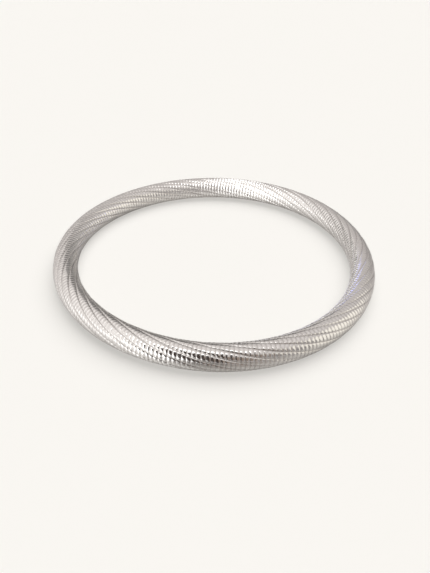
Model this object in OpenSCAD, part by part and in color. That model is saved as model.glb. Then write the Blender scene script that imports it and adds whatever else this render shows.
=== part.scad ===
// A round bangle of ten strands twisted into one closed ring. It lies flat, with its
// lowest crests on Z = 0 and the middle of its outline on the Z axis. The strands are
// soldered into one piece. Sizes are in millimetres and angles in degrees.

/* [Ring] */
// Inside diameter of the wrist opening, as a mean all round
inside_d = 65; // [58:0.5:72]
// How far the ring, bent by hand, bulges at three places and draws in between them
out_of_round = 0.25; // [0:0.05:0.5]
// Direction of the first bulge, counted anticlockwise from the right-hand side
bulge_at = 53; // [0:1:119]

/* [Strands] */
// Thickness of the twisted ring over its crests
tube_d = 5.7; // [4:0.1:8]
// Number of strands side by side round the tube
strands = 10; // [6:1:10]
// Whole turns that a strand makes round the tube in one lap of the ring
turns = 4; // [1:1:6]
// Depth of the seam between two strands, below their crests
seam_depth = 0.16; // [0.05:0.01:0.4]
// Where the first seam crosses the right-hand side, counted up from the outside
first_seam = 13; // [0:1:35]

/* [Hidden] */

// Radii of the ring's centre line and of the tube over its crests
tube_r = tube_d / 2;
ring_r = inside_d / 2 + tube_r;

// Points across one strand, sections along the ring, and the angles between them
strand_points = 4;
section_count = 160;
round_points = strands * strand_points;
round_step = 360 / round_points;
section_step = 360 / section_count;

// The first section is one where a crest touches the surface that the ring lies on
first_crest = first_seam + 180 / strands;
first_section = ((first_crest + 90) / turns) % section_step;

// Distance of the centre line from the axis at the angle along the ring
function reach(along) = ring_r + out_of_round * cos(3 * (along - bulge_at));

// Direction square to the centre line, away from the wrist
function outward(along) =
    along + atan(3 * out_of_round * sin(3 * (along - bulge_at)) / reach(along));

// Radius of the tube across a strand, from 0 at one seam over 0.5 at the crest to 1
function strand_r(across) = tube_r - seam_depth * pow(1 - 2 * across, 2);

// Point of the surface at the section and at the place round the tube. A place
// follows its strand, so that it turns round the tube as the section moves on.
function surface_point(section, place) =
    let (
        along = first_section + section * section_step,
        around = first_seam + place * round_step - turns * along,
        r = strand_r((place % strand_points) / strand_points),
        out = reach(along) * [cos(along), sin(along)]
            + r * cos(around) * [cos(outward(along)), sin(outward(along))]
    )
    [out.x, out.y, tube_r + r * sin(around)];

function middle(values) = (min(values) + max(values)) / 2;

// Number of a point, where sections and places run round and meet again
function index(section, place) =
    (section % section_count) * round_points + place % round_points;

// Closed ring of the twisted strands
module twisted_ring() {
    surface = [
        for (section = [0 : section_count - 1])
            for (place = [0 : round_points - 1])
                surface_point(section, place)
    ];
    centre = [
        middle([for (p = surface) p.x]),
        middle([for (p = surface) p.y]),
        0
    ];
    triangles = [
        for (section = [0 : section_count - 1])
            for (place = [0 : round_points - 1])
                let (
                    a = index(section, place),
                    b = index(section, place + 1),
                    c = index(section + 1, place + 1),
                    d = index(section + 1, place)
                )
                each [[a, b, c], [a, c, d]]
    ];
    color("silver")
        translate(-centre)
            polyhedron(surface, triangles, convexity = 6);
}

twisted_ring();
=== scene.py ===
"""A bangle of twisted silver strands, lying on a pale table in soft studio light.

The twisted ring is modelled as its maker would shape it: a fluted section is swept
round the ring, turned a little from each place to the next so that its strands
twist, and pinched at every rib. Lengths are in metres and angles in degrees, unless
a name says otherwise.
"""

import logging
import math
import random
from dataclasses import dataclass
from enum import Enum

import bmesh
import bpy
from mathutils import Matrix, Vector


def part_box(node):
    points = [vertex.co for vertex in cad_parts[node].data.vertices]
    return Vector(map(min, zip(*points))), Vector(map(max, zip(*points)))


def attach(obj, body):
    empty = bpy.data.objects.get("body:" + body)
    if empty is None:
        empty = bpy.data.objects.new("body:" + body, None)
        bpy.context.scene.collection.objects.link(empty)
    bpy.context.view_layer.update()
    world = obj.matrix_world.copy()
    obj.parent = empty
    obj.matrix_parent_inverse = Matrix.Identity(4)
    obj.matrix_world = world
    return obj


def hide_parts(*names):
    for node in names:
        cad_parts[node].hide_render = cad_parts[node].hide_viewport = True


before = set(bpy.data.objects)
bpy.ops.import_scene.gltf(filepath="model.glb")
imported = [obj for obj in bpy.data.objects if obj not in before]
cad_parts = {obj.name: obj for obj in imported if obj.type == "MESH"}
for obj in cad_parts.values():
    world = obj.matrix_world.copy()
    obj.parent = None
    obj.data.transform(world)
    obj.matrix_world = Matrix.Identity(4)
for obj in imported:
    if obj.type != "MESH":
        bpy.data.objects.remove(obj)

LOG = logging.getLogger("bangle")
MM = 0.001

Colour = tuple[float, float, float]
Section = list[bmesh.types.BMVert]
Socket = bpy.types.NodeSocket

WARM: Colour = (1.04, 1.0, 0.97)


def in_mm(*lengths: float) -> tuple[float, ...]:
    """Turn lengths in millimetres into metres.

    Args:
        *lengths: The lengths in millimetres.

    Returns:
        The same lengths in metres.
    """
    return tuple(length * MM for length in lengths)


def turn(degrees: float, axis: str) -> Matrix:
    """Turn about one axis of the frame.

    Args:
        degrees: Angle of the turn, by the right-hand rule.
        axis: Name of the axis, X, Y or Z.

    Returns:
        The turn as a 4x4 matrix.
    """
    return Matrix.Rotation(math.radians(degrees), 4, axis)


def link(name: str, bm: bmesh.types.BMesh) -> bpy.types.Object:
    """Put a finished shape into the scene.

    Args:
        name: Name of the piece.
        bm: Its shape, with its place in the vertices. It is freed.

    Returns:
        The new object, at the origin.
    """
    mesh = bpy.data.meshes.new(name)
    bm.to_mesh(mesh)
    bm.free()
    piece = bpy.data.objects.new(name, mesh)
    bpy.context.scene.collection.objects.link(piece)
    return piece


class Nodes:
    """Short way to build a node tree."""

    def __init__(self, tree: bpy.types.NodeTree) -> None:
        """Start from an empty tree."""
        self.tree = tree
        tree.nodes.clear()

    def add(self, kind: str, inputs: dict | None = None, **settings: object) -> bpy.types.Node:
        """Add one node.

        Args:
            kind: Blender's name for the type of node.
            inputs: Value or feeding socket for each input, by its name or number.
            **settings: Properties to set on the node.

        Returns:
            The new node.
        """
        node = self.tree.nodes.new(kind)
        for name, value in settings.items():
            setattr(node, name, value)
        for name, value in (inputs or {}).items():
            if isinstance(value, Socket):
                self.tree.links.new(value, node.inputs[name])
            else:
                node.inputs[name].default_value = value
        return node

    def maths(self, operation: str, *values: object) -> Socket:
        """Add a Math node for numbers or sockets, and return its result."""
        node = self.add("ShaderNodeMath", dict(enumerate(values)), operation=operation)
        return node.outputs["Value"]

    def vector(self, operation: str, inputs: dict, output: str = "Vector") -> Socket:
        """Add a Vector Math node, and return its result, a vector or a number as output says."""
        return self.add("ShaderNodeVectorMath", inputs, operation=operation).outputs[output]

    def noise(self, place: Socket, size: float, detail: float) -> Socket:
        """Add a noise of the given grain size and number of finer layers, and return its strength."""
        inputs = {"Vector": place, "Scale": 1 / size, "Detail": detail}
        return self.add("ShaderNodeTexNoise", inputs).outputs["Fac"]

    def mix(self, share: object, first: bpy.types.Node, second: bpy.types.Node) -> bpy.types.Node:
        """Mix two shaders, of which the second has the given share."""
        return self.add("ShaderNodeMixShader", {0: share, 1: first.outputs[0], 2: second.outputs[0]})

    def blend(self, share: Socket, first: Colour | Socket, second: Colour | Socket) -> Socket:
        """Blend two colours.

        Args:
            share: Share of the second colour.
            first: A colour, or the socket that holds it.
            second: A colour, or the socket that holds it.

        Returns:
            The socket that holds the blend.
        """
        node = self.add("ShaderNodeMix", {0: share}, data_type="RGBA")
        for number, colour in ((6, first), (7, second)):
            if isinstance(colour, Socket):
                self.tree.links.new(colour, node.inputs[number])
            else:
                node.inputs[number].default_value = (*colour, 1.0)
        return node.outputs[2]


def start_material(name: str) -> tuple[bpy.types.Material, Nodes]:
    """Start a finish.

    Args:
        name: Name of the material.

    Returns:
        The material, and its empty tree of nodes.
    """
    made = bpy.data.materials.new(name)
    made.use_nodes = True
    return made, Nodes(made.node_tree)


@dataclass(frozen=True)
class Silver:
    """Polished silver that has dulled in its grooves.

    Attributes:
        bright: Colour of the polished crests.
        dull: Colour at the bottom of the seams and between the ribs.
        gloss: Roughness of the crests.
        haze: Roughness added at the bottom of the grooves.
        stain: Size of the clouds of tarnish.
        stain_least: Share of the dulling that is there between the clouds.
        smear: Roughness added in the clouds.
        wave: Size of the slow unevenness of the hand-worked surface.
        wave_height: Height of that unevenness.
        grain: Size of the finest marks of the polish.
        grain_height: Height of those marks.
    """

    bright: Colour = (0.92, 0.907, 0.887)
    dull: Colour = (0.60, 0.575, 0.555)
    gloss: float = 0.09
    haze: float = 0.18
    stain: float = 5.0 * MM
    stain_least: float = 0.35
    smear: float = 0.10
    wave: float = 1.0 * MM
    wave_height: float = 0.045 * MM
    grain: float = 0.12 * MM
    grain_height: float = 0.0006 * MM

    def bumps(self, nodes: Nodes, place: Socket) -> Socket:
        """Make the unevenness of the surface.

        Args:
            nodes: The tree to build in.
            place: Place on the object.

        Returns:
            The socket that holds the normal.
        """
        wave = nodes.noise(place, self.wave, detail=1.0)
        grain = nodes.noise(place, self.grain, detail=2.0)
        slow = nodes.add("ShaderNodeBump", {"Height": wave, "Distance": self.wave_height})
        fine = nodes.add(
            "ShaderNodeBump",
            {"Height": grain, "Distance": self.grain_height, "Normal": slow.outputs["Normal"]},
        )
        return fine.outputs["Normal"]

    def material(self, hollow: str) -> bpy.types.Material:
        """Make the finish.

        Args:
            hollow: Name of the attribute that is 0 on a crest and 1 in a groove.

        Returns:
            The material.
        """
        made, nodes = start_material("silver")
        place = nodes.add("ShaderNodeTexCoord").outputs["Object"]
        depth = nodes.add("ShaderNodeAttribute", attribute_name=hollow).outputs["Fac"]
        stain = nodes.noise(place, self.stain, detail=3.0)
        dulled = nodes.maths("MULTIPLY", depth, nodes.maths("ADD", stain, self.stain_least))
        groove = nodes.maths("MULTIPLY_ADD", depth, self.haze, self.gloss)
        rough = nodes.maths("ADD", groove, nodes.maths("MULTIPLY", stain, self.smear))
        shader = nodes.add(
            "ShaderNodeBsdfPrincipled",
            {
                "Base Color": nodes.blend(dulled, self.bright, self.dull),
                "Metallic": 1.0,
                "Roughness": rough,
                "Normal": self.bumps(nodes, place),
            },
        )
        nodes.add("ShaderNodeOutputMaterial", {"Surface": shader.outputs["BSDF"]})
        return made


@dataclass
class TwistedRing:
    """The closed ring of twisted strands, crossed by fine ribs.

    Attributes:
        inside_d: Inside diameter of the wrist opening, as a mean all round.
        bulges: How many times the ring bulges and draws in on its way round.
        out_of_round: How far it does so.
        bulge_at: Direction of the first bulge.
        strands: Number of strands side by side round the tube.
        turns: Turns that a strand makes round the tube in one lap.
        seam_depth: Depth of the seam between two strands, below their crests.
        notch: Extra depth of the sharp line at the bottom of a seam.
        roundness: 2 for strands round as a wire, more for flatter ones with tighter seams.
        first_seam: Where the first seam crosses the right-hand side.
        doublings: How often one rib is doubled to fill the ring.
        rib_depth: Depth of the fine line between two ribs.
        first_rib: How far before the right-hand side the first line lies, in ribs.
        clearance: How far the crests stay inside the CAD ring.
        across: Places of the section's points across one strand, from seam to seam.
        along: Places of the sections along one rib, from line to line.
        rib_profile: Depth at those places, as a share of the depth of a line.
        uneven: How much deeper than the crest either end of a rib may lie on a strand.
        seed: Start of the random numbers that place the ends.
        weld: How near two points of the sweep are made one, as a share of the tube's radius.
        bottom: Share of the full depth past which a point lies at the bottom of a groove.
        node: CAD node that the ring stands for.
        hollow: Name of the attribute that is 0 on a crest and 1 in a groove.
        strand: Name of the attribute that numbers the strands.
    """

    inside_d: float = 65.0 * MM
    bulges: int = 3
    out_of_round: float = 0.25 * MM
    bulge_at: float = 53.0
    strands: int = 10
    turns: int = 4
    seam_depth: float = 0.145 * MM
    notch: float = 0.022 * MM
    roundness: float = 5.0
    first_seam: float = 13.0
    doublings: int = 8
    rib_depth: float = 0.062 * MM
    first_rib: float = 0.4
    clearance: float = 0.01 * MM
    across: tuple[float, ...] = (0.0, 0.06, 0.18, 0.38, 0.62, 0.82, 0.94)
    along: tuple[float, ...] = (0.0, 0.15, 0.37, 0.63, 0.85)
    rib_profile: tuple[float, ...] = (1.0, 0.32, 0.0, 0.0, 0.32)
    uneven: float = 0.026 * MM
    seed: int = 11
    weld: float = 0.001
    bottom: float = 0.999
    node: str = "twisted_ring"
    hollow: str = "hollow"
    strand: str = "strand"

    def __post_init__(self) -> None:
        """Work out the radii from the frame."""
        low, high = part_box(self.node)
        self.tube_r = (high.z - low.z) / 2
        self.crest_r = self.tube_r - self.clearance
        self.ring_r = self.inside_d / 2 + self.tube_r
        self.ribs = 2**self.doublings
        self.sections = self.ribs * len(self.along)

    def reach(self, place: float) -> float:
        """Distance of the centre line from the axis, at an angle along the ring."""
        swing = math.radians(self.bulges * (place - self.bulge_at))
        return self.ring_r + self.out_of_round * math.cos(swing)

    def outward(self, place: float) -> float:
        """Direction square to the centre line, away from the wrist.

        Args:
            place: Angle along the ring.

        Returns:
            The direction, as an angle from the right-hand side.
        """
        swing = math.radians(self.bulges * (place - self.bulge_at))
        lean = self.bulges * self.out_of_round * math.sin(swing)
        return place + math.degrees(math.atan(lean / self.reach(place)))

    def strand_depth(self, share: float) -> float:
        """Depth below the crests across a strand, from share 0 at one seam to 1 at the next."""
        sharp = self.notch if share == self.across[0] else 0.0
        return self.seam_depth * abs(1 - 2 * share) ** self.roundness + sharp

    def section(self, bm: bmesh.types.BMesh) -> None:
        """Draw the fluted section at the start of the ring.

        Args:
            bm: The mesh to draw it in.
        """
        hollow = bm.verts.layers.float.new(self.hollow)
        mark = bm.verts.layers.int.new(self.strand)
        points = self.strands * len(self.across)
        made = bmesh.ops.create_circle(bm, segments=points, radius=self.crest_r)
        for number, vert in enumerate(made["verts"]):
            strand, step = divmod(number, len(self.across))
            share = self.across[step]
            angle = math.radians(self.first_seam + 360 / self.strands * (strand + share))
            depth = self.strand_depth(share)
            radius = self.crest_r - depth
            vert.co = (self.ring_r + radius * math.cos(angle), 0, self.tube_r + radius * math.sin(angle))
            vert[hollow] = depth / (self.seam_depth + self.notch)
            vert[mark] = strand if step else -1

    def sweep(self, bm: bmesh.types.BMesh) -> list[Section]:
        """Sweep the section along one rib, and double the sweep until it closes the ring.

        Args:
            bm: The mesh that holds the section.

        Returns:
            The points of each section, in order along the ring.
        """
        rib = math.tau / self.ribs
        bmesh.ops.spin(
            bm,
            geom=bm.verts[:] + bm.edges[:],
            cent=(0, 0, 0),
            axis=(0, 0, 1),
            dvec=(0, 0, 0),
            angle=rib,
            steps=len(self.along),
            use_merge=False,
            use_normal_flip=False,
            use_duplicate=False,
        )
        for doubling in range(self.doublings):
            made = bmesh.ops.duplicate(bm, geom=bm.verts[:] + bm.edges[:] + bm.faces[:])
            copies = [item for item in made["geom"] if isinstance(item, bmesh.types.BMVert)]
            swing = Matrix.Rotation(rib * 2**doubling, 3, "Z")
            bmesh.ops.rotate(bm, cent=(0, 0, 0), matrix=swing, verts=copies)
        bmesh.ops.remove_doubles(bm, verts=bm.verts[:], dist=self.weld * self.tube_r)
        found: list[Section] = [[] for _ in range(self.sections)]
        for vert in bm.verts:
            number = round(math.atan2(vert.co.y, vert.co.x) / math.tau * self.sections)
            found[number % self.sections].append(vert)
        return found

    def place_section(self, number: int) -> tuple[Matrix, Matrix]:
        """Where the sweep left a section, and where it belongs.

        Args:
            number: Number of the section.

        Returns:
            The move from its swept place to the origin, and the move from there to its own place.
        """
        rib, step = divmod(number, len(self.along))
        swept = turn(number * 360 / self.sections, "Z") @ Matrix.Translation((self.ring_r, 0, self.tube_r))
        place = 360 / self.ribs * (rib + self.along[step] - self.first_rib)
        centre = Matrix.Translation(turn(place, "Z") @ Vector((self.reach(place), 0, self.tube_r)))
        return swept.inverted(), centre @ turn(self.outward(place), "Z") @ turn(self.turns * place, "Y")

    def rib_ends(self) -> list[list[float]]:
        """Depth of the ends of the ribs below the crests, uneven as hand work leaves them.

        Returns:
            The depth on each strand, for each end of each rib in order along the ring.
        """
        numbers = random.Random(self.seed)
        ends = range(2 * self.ribs)
        return [[numbers.uniform(0, self.uneven) for _ in range(self.strands)] for _ in ends]

    def shape(self, bm: bmesh.types.BMesh, sections: list[Section]) -> None:
        """Twist the strands and pinch the ribs, section by section.

        Args:
            bm: The swept ring.
            sections: The points of each section.
        """
        hollow = bm.verts.layers.float[self.hollow]
        mark = bm.verts.layers.int[self.strand]
        ends = self.rib_ends()
        for number, verts in enumerate(sections):
            rib, step = divmod(number, len(self.along))
            away, place = self.place_section(number)
            depth = self.rib_depth * self.rib_profile[step]
            nearer_last = self.along[step] > 0.5
            end = ends[2 * rib + nearer_last]
            for vert in verts:
                extra = end[vert[mark]] if step and vert[mark] >= 0 else 0.0
                vert.co = place @ ((away @ vert.co) * (1 - (depth + extra) / self.crest_r))
                vert[hollow] = max(vert[hollow], depth / self.rib_depth)

    def crease(self, bm: bmesh.types.BMesh) -> None:
        """Keep an edge sharp where both its ends lie at the bottom of a groove.

        Args:
            bm: The shaped ring.
        """
        hollow = bm.verts.layers.float[self.hollow]
        for edge in bm.edges:
            edge.smooth = min(vert[hollow] for vert in edge.verts) < self.bottom

    def centre(self, bm: bmesh.types.BMesh) -> Vector:
        """Bring the middle of the ring's outline onto the axis.

        Args:
            bm: The shaped ring.

        Returns:
            The move that was made.
        """
        xs = [vert.co.x for vert in bm.verts]
        ys = [vert.co.y for vert in bm.verts]
        move = Vector((-(min(xs) + max(xs)) / 2, -(min(ys) + max(ys)) / 2, 0))
        bmesh.ops.translate(bm, vec=move, verts=bm.verts)
        return move

    def build(self, finish: Silver) -> tuple[bpy.types.Object, Vector]:
        """Build and dress the ring.

        Args:
            finish: The silver that it is made of.

        Returns:
            The ring, and the place of its centre line's own centre.
        """
        bm = bmesh.new()
        self.section(bm)
        sections = self.sweep(bm)
        self.shape(bm, sections)
        self.crease(bm)
        move = self.centre(bm)
        bmesh.ops.recalc_face_normals(bm, faces=bm.faces)
        ring = link("twisted_ribbed_ring", bm)
        ring.data.polygons.foreach_set("use_smooth", [True] * len(ring.data.polygons))
        ring.data.materials.append(finish.material(self.hollow))
        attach(ring, "root")
        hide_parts(self.node)
        return ring, move + Vector((0, 0, self.tube_r))


class Card(Enum):
    """What a card in the studio does."""

    LIGHT = "light"
    FLAG = "flag"


@dataclass(frozen=True)
class StudioCard:
    """A large soft card round the object, far off, that shows in the silver.

    Attributes:
        kind: Whether it gives light or holds it back.
        azimuth: Direction, from 0 behind the object over 90 on its right.
        elevation: Direction above the horizon.
        width: Width, as an angle.
        height: Height, as an angle.
        strength: Brightness of a light, or the share that a flag holds back.
        colour: Tint of a light.
        edge: Width of its soft edge, as a share of its size.
    """

    kind: Card
    azimuth: float
    elevation: float
    width: float
    height: float
    strength: float
    colour: Colour = (1.0, 1.0, 1.0)
    edge: float = 0.6

    def axes(self) -> tuple[Vector, Vector, Vector]:
        """Directions to the card, to its right and to its top."""
        stand = turn(-self.azimuth, "Z") @ turn(self.elevation, "X")
        return stand @ Vector((0, 1, 0)), stand @ Vector((1, 0, 0)), stand @ Vector((0, 0, 1))

    def mask(self, nodes: Nodes, ray: Socket) -> Socket:
        """How much of the card a direction sees.

        Args:
            nodes: The tree to build in.
            ray: The direction.

        Returns:
            A number from 0 off the card to 1 on it.
        """
        forward, right, up = self.axes()
        ahead = nodes.vector("DOT_PRODUCT", {0: ray, 1: forward}, "Value")
        made = nodes.maths("GREATER_THAN", ahead, 0.0)
        for axis, size in ((right, self.width), (up, self.height)):
            half = math.sin(math.radians(size / 2))
            aside = nodes.maths("ABSOLUTE", nodes.vector("DOT_PRODUCT", {0: ray, 1: axis}, "Value"))
            outer = half * (1 + self.edge / 2)
            inner = half * (1 - self.edge / 2)
            ramp = nodes.add(
                "ShaderNodeMapRange",
                {"Value": aside, "From Min": outer, "From Max": inner},
                interpolation_type="SMOOTHSTEP",
            )
            made = nodes.maths("MULTIPLY", made, ramp.outputs["Result"])
        return made


@dataclass(frozen=True)
class NearCard:
    """A small card near the bangle, which shows in the silver from about one distance alone.

    Attributes:
        name: Its name.
        width: Width of the card.
        height: Height of the card.
        place: Place of its middle, from where it is hung.
        colour: Its colour.
        tilt: How far it is raised from lying flat.
        turned: How far it is then turned to the right.
        cover: Share of what lies behind it that it hides.
        seen_from: Distance that it shows from.
        fade: How far off that distance it starts to fade, and is gone.
    """

    name: str
    width: float
    height: float
    place: tuple[float, ...]
    colour: Colour
    tilt: float = 0.0
    turned: float = 0.0
    cover: float = 1.0
    seen_from: float = 100 * MM
    fade: tuple[float, ...] = in_mm(20, 50)

    def material(self) -> bpy.types.Material:
        """Make the finish.

        Returns:
            The material.
        """
        made, nodes = start_material(self.name)
        matt = nodes.add("ShaderNodeEmission", {"Color": (*self.colour, 1.0)})
        clear = nodes.add("ShaderNodeBsdfTransparent")
        length = nodes.add("ShaderNodeLightPath").outputs["Ray Length"]
        off = nodes.maths("ABSOLUTE", nodes.maths("SUBTRACT", length, self.seen_from))
        start, gone = self.fade
        faded = nodes.add(
            "ShaderNodeMapRange",
            {"Value": off, "From Min": start, "From Max": gone, "To Min": self.cover, "To Max": 0.0},
        )
        both = nodes.mix(faded.outputs["Result"], clear, matt)
        nodes.add("ShaderNodeOutputMaterial", {"Surface": both.outputs[0]})
        return made

    def hang(self, stand: Matrix) -> bpy.types.Object:
        """Hang the card.

        Args:
            stand: Where it is hung from.

        Returns:
            The card.
        """
        bm = bmesh.new()
        bmesh.ops.create_grid(bm, x_segments=1, y_segments=1, size=0.5)
        bmesh.ops.scale(bm, vec=(self.width, self.height, 1), verts=bm.verts)
        where = stand @ Matrix.Translation(self.place) @ turn(self.turned, "Z") @ turn(self.tilt, "X")
        bmesh.ops.transform(bm, matrix=where, verts=bm.verts)
        card = link(self.name, bm)
        card.data.materials.append(self.material())
        card.visible_camera = False
        card.visible_diffuse = False
        card.visible_shadow = False
        return card


@dataclass
class Studio:
    """The soft light round the table.

    Attributes:
        room: Colour of the room between the cards.
        level: Brightness of the room.
        backdrop: What the camera sees past the table.
        cards: The far cards that show in the silver, in the order that they are put up.
        near: The small cards behind the bangle, which light nothing and paint highlights and shade into
            the silver's reflections.
        key_azimuth: Direction of the light that falls on the table.
        key_elevation: Its height above the horizon.
        key_spread: Its width, as an angle.
        key_power: Its strength.
    """

    room: Colour = (1.07, 1.0, 0.975)
    level: float = 0.442
    backdrop: Colour = (0.956, 0.930, 0.887)
    cards: tuple[StudioCard, ...] = (
        StudioCard(Card.LIGHT, 0, 90, 70, 70, strength=0.26, colour=WARM, edge=1.2),
        StudioCard(Card.LIGHT, 60, 22, 60, 40, strength=0.06, colour=WARM, edge=1.0),
        StudioCard(Card.LIGHT, -108, 8, 84, 96, strength=0.29, colour=(1.0, 1.0, 0.98), edge=0.8),
        StudioCard(Card.LIGHT, -78, 30, 70, 60, strength=0.16, colour=(1.05, 1.0, 0.97), edge=0.9),
        StudioCard(Card.LIGHT, 98, 16, 48, 54, strength=0.50, colour=(1.03, 1.0, 0.86), edge=0.5),
        StudioCard(Card.FLAG, 160, 5, 70, 90, strength=0.16),
        StudioCard(Card.FLAG, 132, 5, 22, 36, strength=0.40),
        StudioCard(Card.FLAG, 33, 8, 28, 30, strength=0.36),
        StudioCard(Card.LIGHT, 0, 22, 70, 28, strength=0.10, colour=WARM, edge=0.8),
        StudioCard(Card.FLAG, 8, -10, 84, 32, strength=0.45),
        StudioCard(Card.LIGHT, -152, 40, 28, 78, strength=2.15, colour=(0.99, 1.0, 1.0), edge=0.35),
        StudioCard(Card.LIGHT, -104, 0, 56, 30, strength=0.5, colour=(0.98, 1.0, 0.99), edge=0.4),
        StudioCard(Card.LIGHT, -42, 46, 46, 26, strength=0.11, colour=(1.0, 1.0, 0.97), edge=0.8),
    )
    # Painted reflections: the pale, blue and white cards glow but light nothing, as painted highlights in
    # the silver, and the dark ones put painted shade there.
    near: tuple[NearCard, ...] = (
        NearCard(
            name="dark_back",
            width=62 * MM,
            height=53 * MM,
            place=in_mm(-21, 60, 35),
            colour=(0.14, 0.135, 0.13),
            tilt=90,
            cover=0.88,
            seen_from=90 * MM,
            fade=in_mm(20, 35),
        ),
        NearCard(
            name="pale_back",
            width=23 * MM,
            height=17 * MM,
            place=in_mm(18, 47, 8.5),
            colour=(1.48, 1.46, 1.43),
            tilt=90,
            turned=35,
            seen_from=60 * MM,
            fade=in_mm(10, 17),
        ),
        NearCard(
            name="shade_back",
            width=28 * MM,
            height=36 * MM,
            place=in_mm(20, 60, 37),
            colour=(0.10, 0.095, 0.09),
            tilt=90,
            cover=0.75,
            seen_from=98 * MM,
            fade=in_mm(8, 16),
        ),
        NearCard(
            name="pale_top",
            width=42 * MM,
            height=50 * MM,
            place=in_mm(16, 60, 98),
            colour=(1.6, 1.55, 1.5),
            tilt=90,
            cover=0.10,
            seen_from=132 * MM,
            fade=in_mm(20, 30),
        ),
        NearCard(
            name="pale_left",
            width=34 * MM,
            height=36 * MM,
            place=in_mm(-6, 49, 19),
            colour=(1.3, 1.27, 1.2),
            tilt=90,
            cover=0.13,
            seen_from=60 * MM,
            fade=in_mm(10, 17),
        ),
        NearCard(
            name="blue_back",
            width=18 * MM,
            height=19 * MM,
            place=in_mm(25, 43, 27.5),
            colour=(1.0, 1.02, 1.7),
            tilt=90,
            turned=10,
            seen_from=61 * MM,
            fade=in_mm(4, 9),
        ),
        NearCard(
            name="white_back",
            width=10 * MM,
            height=26 * MM,
            place=in_mm(6.5, 50, 23.5),
            colour=(2.0, 2.0, 2.0),
            tilt=135,
            seen_from=25 * MM,
            fade=in_mm(8, 14),
        ),
    )
    key_azimuth: float = 34.0
    key_elevation: float = 69.0
    key_spread: float = 78.0
    key_power: float = 3.40

    def round_view(self, nodes: Nodes) -> Socket:
        """Colour of the room and its far cards in each direction.

        Args:
            nodes: The tree to build in.

        Returns:
            The socket that holds the colour.
        """
        ray = nodes.add("ShaderNodeTexCoord").outputs["Generated"]
        base = [self.level * share for share in self.room]
        total = nodes.add("ShaderNodeCombineXYZ", dict(enumerate(base))).outputs["Vector"]
        for card in self.cards:
            seen = nodes.maths("MULTIPLY", card.mask(nodes, ray), card.strength)
            if card.kind is Card.LIGHT:
                glow = nodes.vector("SCALE", {0: card.colour, "Scale": seen})
                total = nodes.vector("ADD", {0: total, 1: glow})
            else:
                kept = nodes.maths("SUBTRACT", 1.0, seen)
                total = nodes.vector("SCALE", {0: total, "Scale": kept})
        return total

    def build(self) -> list[bpy.types.Object]:
        """Put up the room, its cards and the light over the table.

        Returns:
            The small cards.
        """
        world = bpy.data.worlds.new("studio")
        world.use_nodes = True
        world.cycles_visibility.diffuse = False
        bpy.context.scene.world = world
        nodes = Nodes(world.node_tree)
        path = nodes.add("ShaderNodeLightPath")
        # The room is dark to a ray that has left a matt surface, so it doesn't light the table.
        bright = nodes.maths("LESS_THAN", path.outputs["Diffuse Depth"], 1.0)
        lit = nodes.add("ShaderNodeBackground", {"Color": self.round_view(nodes), "Strength": bright})
        plain = nodes.add("ShaderNodeBackground", {"Color": (*self.backdrop, 1.0)})
        both = nodes.mix(path.outputs["Is Camera Ray"], lit, plain)
        nodes.add("ShaderNodeOutputWorld", {"Surface": both.outputs[0]})
        small = [card.hang(Matrix.Identity(4)) for card in self.near]
        self.hang_key()
        return small

    def hang_key(self) -> None:
        """Hang the soft light over the table."""
        data = bpy.data.lights.new("key", "SUN")
        data.energy = self.key_power
        data.angle = math.radians(self.key_spread)
        key = bpy.data.objects.new("key", data)
        key.visible_glossy = False
        key.matrix_world = turn(-self.key_azimuth, "Z") @ turn(self.key_elevation - 90, "X")
        bpy.context.scene.collection.objects.link(key)


@dataclass(frozen=True)
class TableSpot:
    """A place on the table that shows darker or lighter in the silver than the rest: painted shade where
    it is darker and painted light where it is lighter, seen in the reflections alone.

    Attributes:
        x: Its place to the right of the middle.
        y: Its place behind the middle.
        reach: How far from there the table's own colour is back in full.
        colour: Its colour in the middle.
    """

    x: float
    y: float
    reach: float
    colour: Colour


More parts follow.
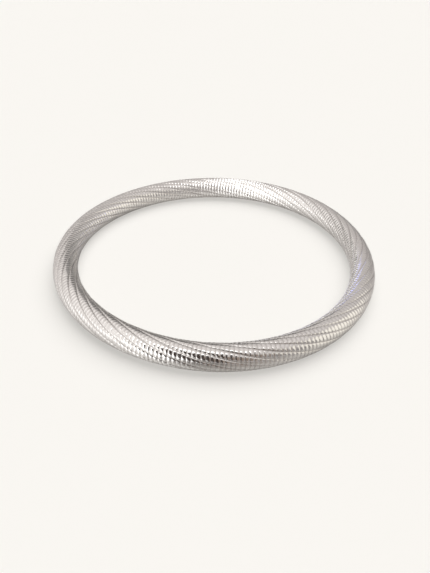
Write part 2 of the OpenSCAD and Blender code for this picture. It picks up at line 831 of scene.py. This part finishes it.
@dataclass
class Table:
    """The pale table that the bangle lies on.

    Attributes:
        radius: Reach of the table top.
        sides: Number of sides that make its round.
        colour: Its colour.
        mirrored: Its colour as it shows in the silver.
        spots: Where it shows darker or lighter there, as painted shade and painted light in the
            reflections.
        varnish: Brightness of the gloss that shows there too.
        varnish_least: Share of that gloss seen from straight above.
        varnish_blur: Roughness of that gloss.
        lift: Share of its brightness that no shadow takes away.
        mirrored_lift: The same share as it shows in the silver.
    """

    radius: float = 3.0
    sides: int = 64
    colour: Colour = (0.95, 0.925, 0.882)
    mirrored: Colour = (0.44, 0.42, 0.397)
    # Painted shade and painted light: round places that show darker or lighter in the silver's reflections
    # alone.
    spots: tuple[TableSpot, ...] = (
        TableSpot(-27 * MM, 4 * MM, reach=17 * MM, colour=(0.24, 0.228, 0.22)),
        TableSpot(-23 * MM, 18 * MM, reach=12 * MM, colour=(0.20, 0.19, 0.18)),
        TableSpot(-6 * MM, 28 * MM, reach=15 * MM, colour=(0.66, 0.63, 0.595)),
        TableSpot(-8 * MM, -24 * MM, reach=20 * MM, colour=(0.26, 0.247, 0.235)),
        TableSpot(-14 * MM, -43 * MM, reach=17 * MM, colour=(0.78, 0.757, 0.725)),
        TableSpot(32 * MM, -32 * MM, reach=21 * MM, colour=(0.20, 0.19, 0.18)),
        TableSpot(27 * MM, -5 * MM, reach=20 * MM, colour=(0.97, 0.94, 0.91)),
        TableSpot(15 * MM, -19 * MM, reach=16 * MM, colour=(0.08, 0.075, 0.07)),
    )
    varnish: float = 0.9
    varnish_least: float = 0.15
    varnish_blur: float = 0.3
    lift: float = 0.56
    mirrored_lift: float = 0.6

    def seen_in_silver(self, nodes: Nodes) -> Colour | Socket:
        """Colour that the table shows in the silver.

        Args:
            nodes: The tree to build in.

        Returns:
            The socket that holds the colour, or with no spots the colour itself.
        """
        place = nodes.add("ShaderNodeTexCoord").outputs["Object"]
        seen = self.mirrored
        for spot in self.spots:
            away = nodes.vector("DISTANCE", {0: place, 1: (spot.x, spot.y, 0.0)}, "Value")
            share = nodes.add(
                "ShaderNodeMapRange",
                {"Value": away, "From Max": spot.reach},
                interpolation_type="SMOOTHSTEP",
            )
            seen = nodes.blend(share.outputs["Result"], spot.colour, seen)
        return seen

    def material(self) -> bpy.types.Material:
        """Make the finish of the table top.

        Returns:
            The material.
        """
        made, nodes = start_material("table")
        mirror = nodes.add("ShaderNodeLightPath").outputs["Is Glossy Ray"]
        colour = nodes.blend(mirror, self.colour, self.seen_in_silver(nodes))
        matt = nodes.add("ShaderNodeBsdfDiffuse", {"Color": colour})
        glow = nodes.add("ShaderNodeEmission", {"Color": colour})
        lifted = nodes.maths("MULTIPLY_ADD", mirror, self.mirrored_lift - self.lift, self.lift)
        base = nodes.mix(lifted, matt, glow)
        white = (self.varnish, self.varnish, self.varnish, 1.0)
        gloss = nodes.add("ShaderNodeBsdfGlossy", {"Color": white, "Roughness": self.varnish_blur})
        facing = nodes.add("ShaderNodeLayerWeight", {"Blend": 0.5}).outputs["Facing"]
        slant = nodes.maths("MULTIPLY_ADD", facing, 1 - self.varnish_least, self.varnish_least)
        both = nodes.mix(nodes.maths("MULTIPLY", mirror, slant), base, gloss)
        nodes.add("ShaderNodeOutputMaterial", {"Surface": both.outputs[0]})
        return made

    def build(self) -> bpy.types.Object:
        """Build the table top.

        Returns:
            The table top.
        """
        bm = bmesh.new()
        bmesh.ops.create_circle(bm, cap_ends=True, segments=self.sides, radius=self.radius)
        table = link("table", bm)
        table.data.materials.append(self.material())
        return table


@dataclass
class Viewpoint:
    """The photograph's camera.

    Attributes:
        distance: Distance from the middle of the ring.
        elevation: Height of the camera, as an angle seen from there.
        dip: How far below the middle of the ring it aims.
        aside: How far to the right of it.
        roll: How far it leans to the left.
        lens: Focal length, in millimetres, on a sensor of the given size.
        sensor: Size of the long side of the sensor, in millimetres.
        nearest: Distance that it sees from.
        cards: The cards round the lens.
    """

    distance: float = 133.96 * MM
    elevation: float = 33.76
    dip: float = 3.35
    aside: float = 0.07
    roll: float = 1.35
    lens: float = 34.55
    sensor: float = 36.0
    nearest: float = 10 * MM
    cards: tuple[NearCard, ...] = (
        NearCard(
            name="lens_left",
            width=86 * MM,
            height=152 * MM,
            place=in_mm(-31, -20, 0),
            colour=(0.035, 0.022, 0.018),
        ),
        NearCard(
            name="lens_right",
            width=56 * MM,
            height=84 * MM,
            place=in_mm(38, -40, 0),
            colour=(0.20, 0.13, 0.085),
            cover=0.65,
        ),
    )

    def build(self, middle: Vector) -> list[bpy.types.Object]:
        """Set up the camera and the cards round its lens.

        Args:
            middle: Middle of the ring.

        Returns:
            The cards.
        """
        data = bpy.data.cameras.new("camera")
        data.lens = self.lens
        data.sensor_width = self.sensor
        data.clip_start = self.nearest
        camera = bpy.data.objects.new("camera", data)
        bpy.context.scene.collection.objects.link(camera)
        away = turn(-self.elevation, "X") @ Vector((0, -self.distance, 0))
        aim = turn(-self.aside, "Z") @ turn(90 - self.elevation - self.dip, "X") @ turn(self.roll, "Z")
        camera.matrix_world = Matrix.Translation(middle + away) @ aim
        bpy.context.scene.camera = camera
        return [card.hang(camera.matrix_world) for card in self.cards]


def main() -> None:
    """Build the bangle, its table, its light and its camera, and report each piece."""
    logging.basicConfig(level=logging.INFO, format="%(message)s")
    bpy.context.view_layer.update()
    ring, middle = TwistedRing().build(Silver())
    LOG.info("%s: %d faces", ring.name, len(ring.data.polygons))
    stage = [Table().build(), *Studio().build(), *Viewpoint().build(middle)]
    for thing in stage:
        LOG.info("%s: stage", thing.name)
    bpy.context.scene.view_settings.view_transform = "Standard"


if __name__ == "__main__":
    main()
